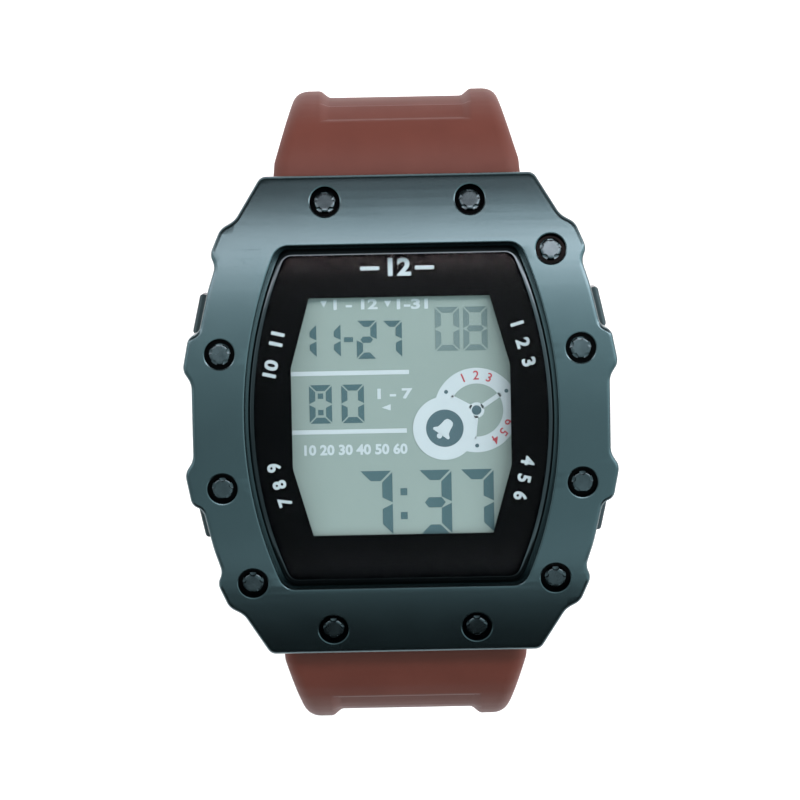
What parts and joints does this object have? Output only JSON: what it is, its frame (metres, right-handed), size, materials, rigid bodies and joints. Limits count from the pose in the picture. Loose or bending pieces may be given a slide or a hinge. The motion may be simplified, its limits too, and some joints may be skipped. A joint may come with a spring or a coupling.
{
  "type": "digital watch",
  "caption": "Digital wristwatch: barrel case with a screwed bezel over a curved lens, side pushers, screwed case back and a two-piece rubber strap with a tongue buckle.",
  "frame": {"origin": "centre of the case back's flat outer face", "axes": "+Z out of the dial, +Y to twelve o'clock, +X to three o'clock"},
  "size_m": [0.0428, 0.065, 0.0714],
  "materials": {
    "black_plastic": "satin black moulded plastic",
    "case_plastic": "black moulded plastic",
    "screw_steel": "glossy black plated steel",
    "lens": "clear polished mineral glass",
    "gasket_rubber": "black moulded rubber",
    "mask_print": "gloss black print with white figures",
    "polarizer_film": "clear polarizing film",
    "display_glass": "grey green liquid crystal cell",
    "reflector_film": "matt silver film",
    "guide_plastic": "clear acrylic light guide",
    "led_resin": "white encapsulated lamp",
    "zebra_rubber": "striped conductive rubber",
    "frame_plastic": "white moulded carrier",
    "board_laminate": "green laminate",
    "chip_resin": "black potting resin",
    "can_steel": "drawn can",
    "chip_ceramic": "tan ceramic",
    "clip_steel": "stamped spring steel",
    "cell_steel": "nickel plated can",
    "sounder_brass": "brass disc with ceramic",
    "spring_steel": "spring wire",
    "contact_brass": "gilt spring contacts",
    "small_screw_steel": "plated steel",
    "back_steel": "brushed stainless steel",
    "strap_rubber": "red brown moulded silicone",
    "buckle_steel": "black coated steel",
    "bar_steel": "drawn stainless steel"
  },
  "bodies": {
    "case": {"bezel": "black_plastic", "bezel_screws": "screw_steel", "case_body": "case_plastic", "crystal": "lens", "crystal_gasket": "gasket_rubber", "dial_mask": "mask_print", "front_polarizer": "polarizer_film", "lcd_cell": "display_glass", "reflector": "reflector_film", "light_guide": "guide_plastic", "backlight_led": "led_resin", "zebra_strips": "zebra_rubber", "module_frame": "frame_plastic", "circuit_board": "board_laminate", "chip_cover": "chip_resin", "quartz_can": "can_steel", "chip_parts": "chip_ceramic", "battery_clip": "clip_steel", "coin_cell": "cell_steel", "buzzer_disc": "sounder_brass", "buzzer_spring": "spring_steel", "side_contacts": "contact_brass", "module_screws": "small_screw_steel", "case_back": "back_steel", "case_back_gasket": "gasket_rubber", "case_back_screws": "small_screw_steel", "upper_right_pusher_seal": "gasket_rubber", "upper_right_pusher_spring": "spring_steel", "upper_left_pusher_seal": "gasket_rubber", "upper_left_pusher_spring": "spring_steel", "lower_right_pusher_seal": "gasket_rubber", "lower_right_pusher_spring": "spring_steel", "lower_left_pusher_seal": "gasket_rubber", "lower_left_pusher_spring": "spring_steel"},
    "upper_right_button": {"upper_right_pusher": "black_plastic", "upper_right_pusher_clip": "clip_steel"},
    "upper_left_button": {"upper_left_pusher": "black_plastic", "upper_left_pusher_clip": "clip_steel"},
    "lower_right_button": {"lower_right_pusher": "black_plastic", "lower_right_pusher_clip": "clip_steel"},
    "lower_left_button": {"lower_left_pusher": "black_plastic", "lower_left_pusher_clip": "clip_steel"},
    "buckle_strap": {"strap_buckle_half": "strap_rubber", "fixed_keeper": "strap_rubber", "upper_bar_tube": "bar_steel", "upper_bar_spring": "spring_steel"},
    "hole_strap": {"strap_hole_half": "strap_rubber", "lower_bar_tube": "bar_steel", "lower_bar_spring": "spring_steel"},
    "keeper": {"free_keeper": "strap_rubber"},
    "buckle": {"buckle_frame": "buckle_steel", "buckle_pin": "bar_steel"},
    "tongue": {"buckle_tongue": "buckle_steel"},
    "upper_right_tip": {"upper_right_bar_tip": "bar_steel"},
    "upper_left_tip": {"upper_left_bar_tip": "bar_steel"},
    "lower_right_tip": {"lower_right_bar_tip": "bar_steel"},
    "lower_left_tip": {"lower_left_bar_tip": "bar_steel"}
  },
  "joints": [
    {"name": "upper_right_press", "type": "slide", "parent": "case", "child": "upper_right_button", "axis": [-0.9762, -0.2169, 0], "range_m": [0, 0.0008], "stiffness_N_per_m": 900, "springref_m": -0.0004, "deforming": ["upper_right_pusher_spring"]},
    {"name": "upper_left_press", "type": "slide", "parent": "case", "child": "upper_left_button", "axis": [0.9762, -0.2169, 0], "range_m": [0, 0.0008], "stiffness_N_per_m": 900, "springref_m": -0.0004, "deforming": ["upper_left_pusher_spring"]},
    {"name": "lower_right_press", "type": "slide", "parent": "case", "child": "lower_right_button", "axis": [-0.9762, 0.2169, 0], "range_m": [0, 0.0008], "stiffness_N_per_m": 900, "springref_m": -0.0004, "deforming": ["lower_right_pusher_spring"]},
    {"name": "lower_left_press", "type": "slide", "parent": "case", "child": "lower_left_button", "axis": [0.9762, 0.2169, 0], "range_m": [0, 0.0008], "stiffness_N_per_m": 900, "springref_m": -0.0004, "deforming": ["lower_left_pusher_spring"]},
    {"name": "buckle_strap_pivot", "type": "hinge", "parent": "case", "child": "buckle_strap", "pos_m": [0, 0.021, 0.0037], "axis": [1, 0, 0], "range_deg": [-3, 10]},
    {"name": "hole_strap_pivot", "type": "hinge", "parent": "case", "child": "hole_strap", "pos_m": [0, -0.021, 0.0037], "axis": [-1, 0, 0], "range_deg": [-3, 10]},
    {"name": "keeper_slide", "type": "slide", "parent": "buckle_strap", "child": "keeper", "axis": [0, -0.2079, -0.9781], "range_m": [-0.006, 0.006]},
    {"name": "buckle_pivot", "type": "hinge", "parent": "buckle_strap", "child": "buckle", "pos_m": [0, 0.01415, -0.0564], "axis": [-1, 0, 0], "range_deg": [-35, 60]},
    {"name": "tongue_pivot", "type": "hinge", "parent": "buckle", "child": "tongue", "pos_m": [0, 0.01415, -0.0564], "axis": [1, 0, 0], "range_deg": [0, 70]},
    {"name": "upper_right_tip_slide", "type": "slide", "parent": "buckle_strap", "child": "upper_right_tip", "axis": [-1, 0, 0], "range_m": [0, 0.0009], "stiffness_N_per_m": 1200, "springref_m": -0.0005, "deforming": ["upper_bar_spring"]},
    {"name": "upper_left_tip_slide", "type": "slide", "parent": "buckle_strap", "child": "upper_left_tip", "axis": [1, 0, 0], "range_m": [0, 0.0009], "stiffness_N_per_m": 1200, "springref_m": -0.0005, "deforming": ["upper_bar_spring"]},
    {"name": "lower_right_tip_slide", "type": "slide", "parent": "hole_strap", "child": "lower_right_tip", "axis": [-1, 0, 0], "range_m": [0, 0.0009], "stiffness_N_per_m": 1200, "springref_m": -0.0005, "deforming": ["lower_bar_spring"]},
    {"name": "lower_left_tip_slide", "type": "slide", "parent": "hole_strap", "child": "lower_left_tip", "axis": [1, 0, 0], "range_m": [0, 0.0009], "stiffness_N_per_m": 1200, "springref_m": -0.0005, "deforming": ["lower_bar_spring"]}
  ]
}
